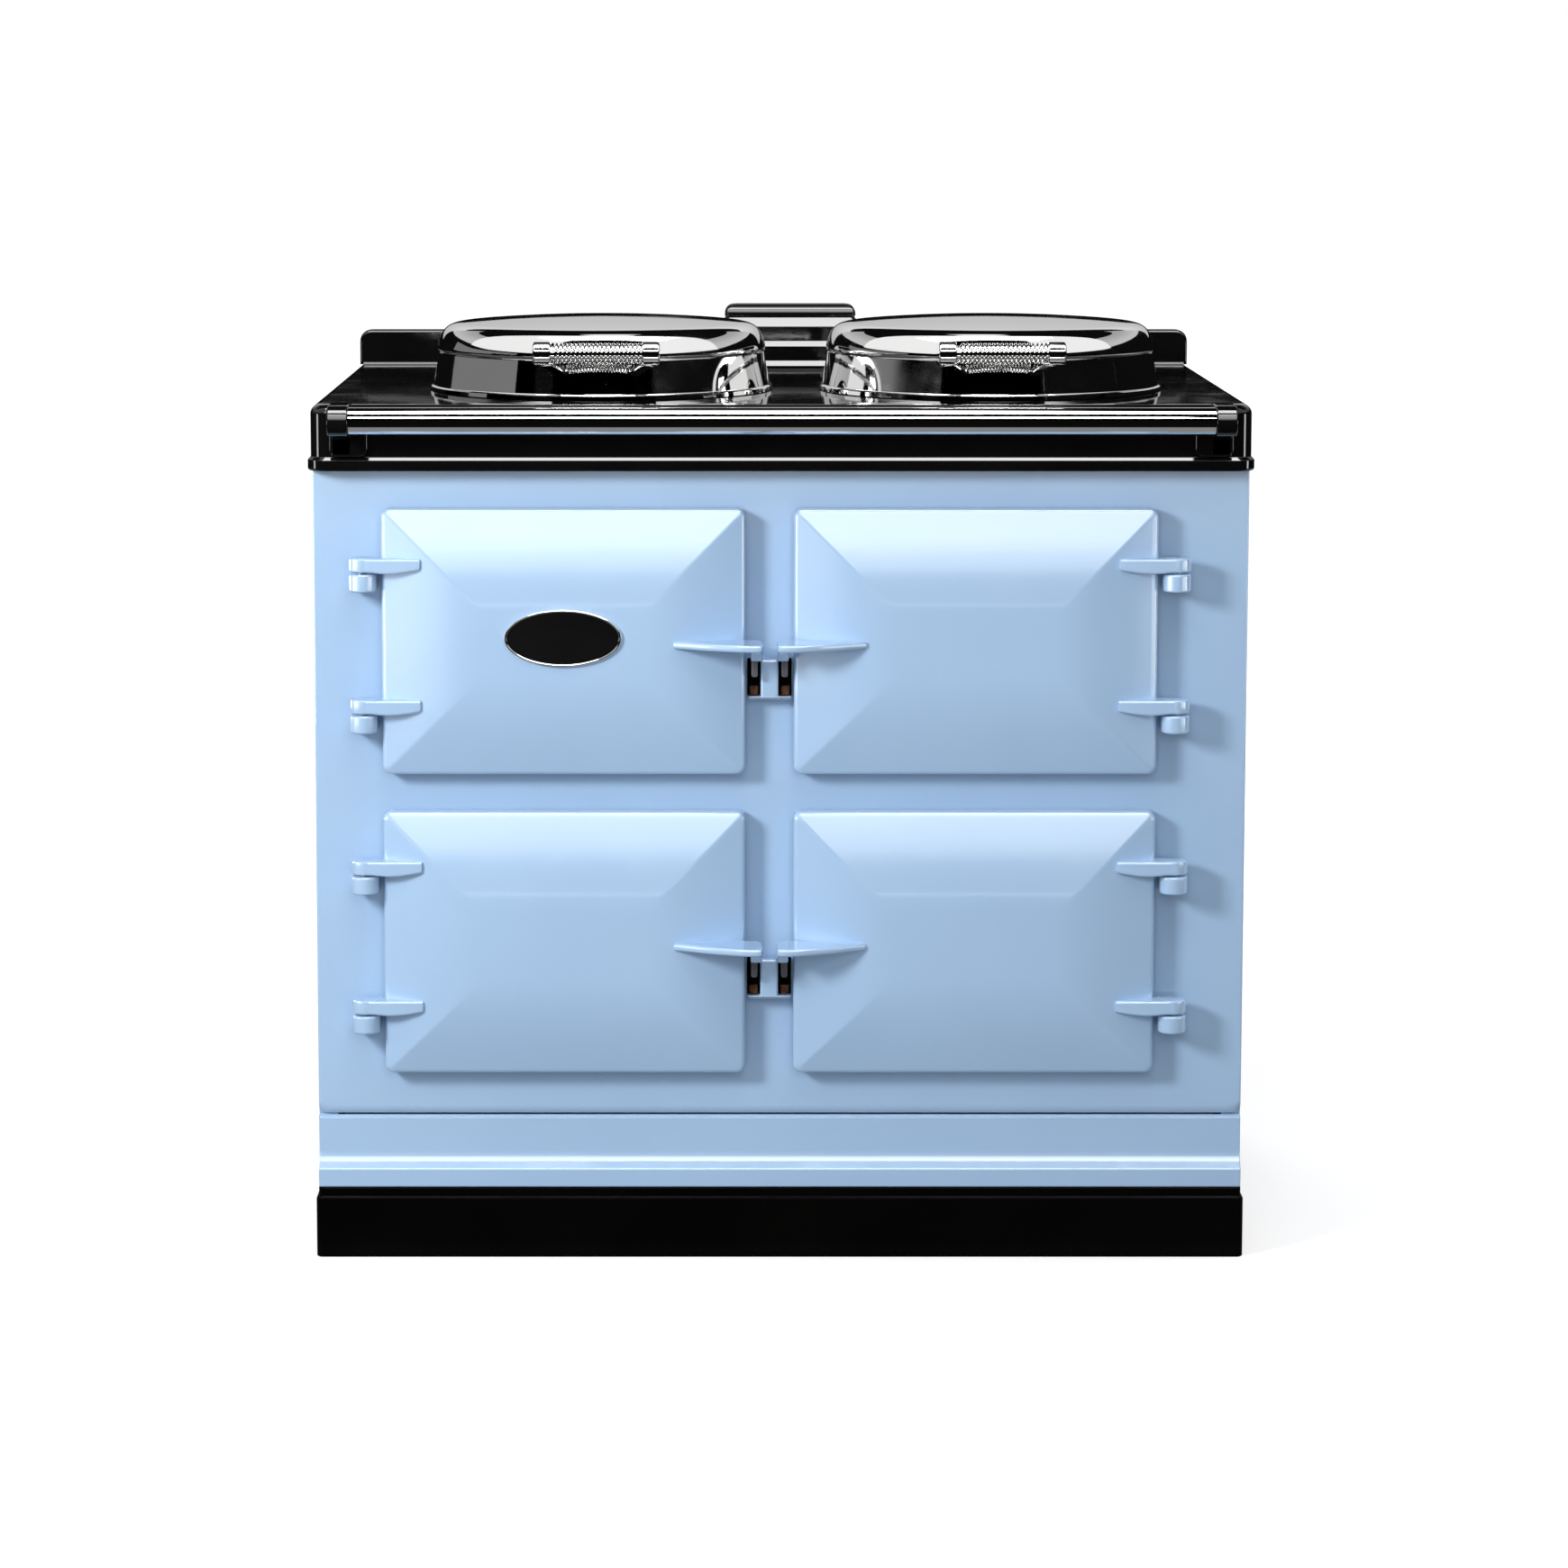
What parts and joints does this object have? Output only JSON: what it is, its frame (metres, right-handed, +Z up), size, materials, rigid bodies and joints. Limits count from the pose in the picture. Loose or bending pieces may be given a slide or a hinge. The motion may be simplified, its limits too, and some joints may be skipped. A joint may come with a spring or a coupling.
{
  "type": "cast iron range cooker",
  "caption": "Free-standing enamelled cast iron heat-storage range cooker with hinged oven doors, domed hotplate lids, hand rail and splashback.",
  "frame": {"origin": "centre of the whole cooker's footprint, on the floor", "axes": "+Z up, the doors face -Y, +X to the viewer's right when facing the doors"},
  "size_m": [0.987, 0.736, 0.99],
  "materials": {
    "blue_enamel": "vitreous enamel, gloss, pale sky blue",
    "black_enamel": "vitreous enamel, high gloss black",
    "black_paint": "satin black paint",
    "chrome": "polished",
    "pan_steel": "satin stainless sheet",
    "frame_steel": "plain rolled steel",
    "zinc_sheet": "galvanised sheet",
    "oven_iron": "dark vitreous lining",
    "hotplate_iron": "machined cast iron, oiled",
    "shelf_wire": "plated wire",
    "lagging": "mineral fibre block",
    "panel_black": "smoked glass-like fascia",
    "badge_black": "gloss enamel with a bright rim"
  },
  "bodies": {
    "root": {"plinth": "black_paint", "base_frame": "frame_steel", "foot_front_left": "frame_steel", "foot_front_right": "frame_steel", "foot_rear_left": "frame_steel", "foot_rear_right": "frame_steel", "skirting": "blue_enamel", "front_plate": "blue_enamel", "side_panel_left": "blue_enamel", "side_panel_right": "blue_enamel", "rear_panel": "zinc_sheet", "insulation_block": "lagging", "control_panel": "panel_black", "roasting_oven": "oven_iron", "baking_oven": "oven_iron", "simmering_oven": "oven_iron", "roasting_shelf": "shelf_wire", "baking_shelf": "shelf_wire", "simmering_shelf": "shelf_wire", "top_plate": "black_enamel", "boiling_plate": "hotplate_iron", "simmering_plate": "hotplate_iron", "splashback": "black_enamel", "vent_cap": "black_enamel", "hand_rail": "chrome", "rail_bracket_left": "black_enamel", "rail_bracket_right": "black_enamel", "latch_keeper_upper": "blue_enamel", "latch_keeper_lower": "blue_enamel", "hinge_bracket_upper_left_top": "blue_enamel", "hinge_bracket_upper_left_bottom": "blue_enamel", "hinge_bracket_upper_right_top": "blue_enamel", "hinge_bracket_upper_right_bottom": "blue_enamel", "hinge_bracket_lower_left_top": "blue_enamel", "hinge_bracket_lower_left_bottom": "blue_enamel", "hinge_bracket_lower_right_top": "blue_enamel", "hinge_bracket_lower_right_bottom": "blue_enamel", "lid_hinge_left": "chrome", "lid_hinge_right": "chrome"},
    "door_upper_left": {"door_upper_left_shell": "blue_enamel", "door_upper_left_liner": "pan_steel", "door_upper_left_handle": "blue_enamel", "badge": "badge_black"},
    "door_upper_right": {"door_upper_right_shell": "blue_enamel", "door_upper_right_liner": "pan_steel", "door_upper_right_handle": "blue_enamel"},
    "door_lower_left": {"door_lower_left_shell": "blue_enamel", "door_lower_left_liner": "pan_steel", "door_lower_left_handle": "blue_enamel"},
    "door_lower_right": {"door_lower_right_shell": "blue_enamel", "door_lower_right_liner": "pan_steel", "door_lower_right_handle": "blue_enamel"},
    "lid_left": {"lid_left_cap": "chrome", "lid_left_liner": "pan_steel", "lid_left_yoke": "chrome", "lid_left_coil": "chrome"},
    "lid_right": {"lid_right_cap": "chrome", "lid_right_liner": "pan_steel", "lid_right_yoke": "chrome", "lid_right_coil": "chrome"}
  },
  "joints": [
    {"name": "door_upper_left_hinge", "type": "hinge", "parent": "root", "child": "door_upper_left", "pos_m": [-0.436, -0.31, 0.662], "axis": [0, 0, -1], "range_deg": [0, 120]},
    {"name": "door_upper_right_hinge", "type": "hinge", "parent": "root", "child": "door_upper_right", "pos_m": [0.4125, -0.31, 0.662], "axis": [0, 0, 1], "range_deg": [0, 120]},
    {"name": "door_lower_left_hinge", "type": "hinge", "parent": "root", "child": "door_lower_left", "pos_m": [-0.436, -0.31, 0.343], "axis": [0, 0, -1], "range_deg": [0, 120]},
    {"name": "door_lower_right_hinge", "type": "hinge", "parent": "root", "child": "door_lower_right", "pos_m": [0.4125, -0.31, 0.343], "axis": [0, 0, 1], "range_deg": [0, 120]},
    {"name": "lid_left_hinge", "type": "hinge", "parent": "root", "child": "lid_left", "pos_m": [-0.1925, 0.129, 0.925], "axis": [-1, 0, 0], "range_deg": [0, 90]},
    {"name": "lid_right_hinge", "type": "hinge", "parent": "root", "child": "lid_right", "pos_m": [0.2305, 0.129, 0.925], "axis": [-1, 0, 0], "range_deg": [0, 90]}
  ]
}
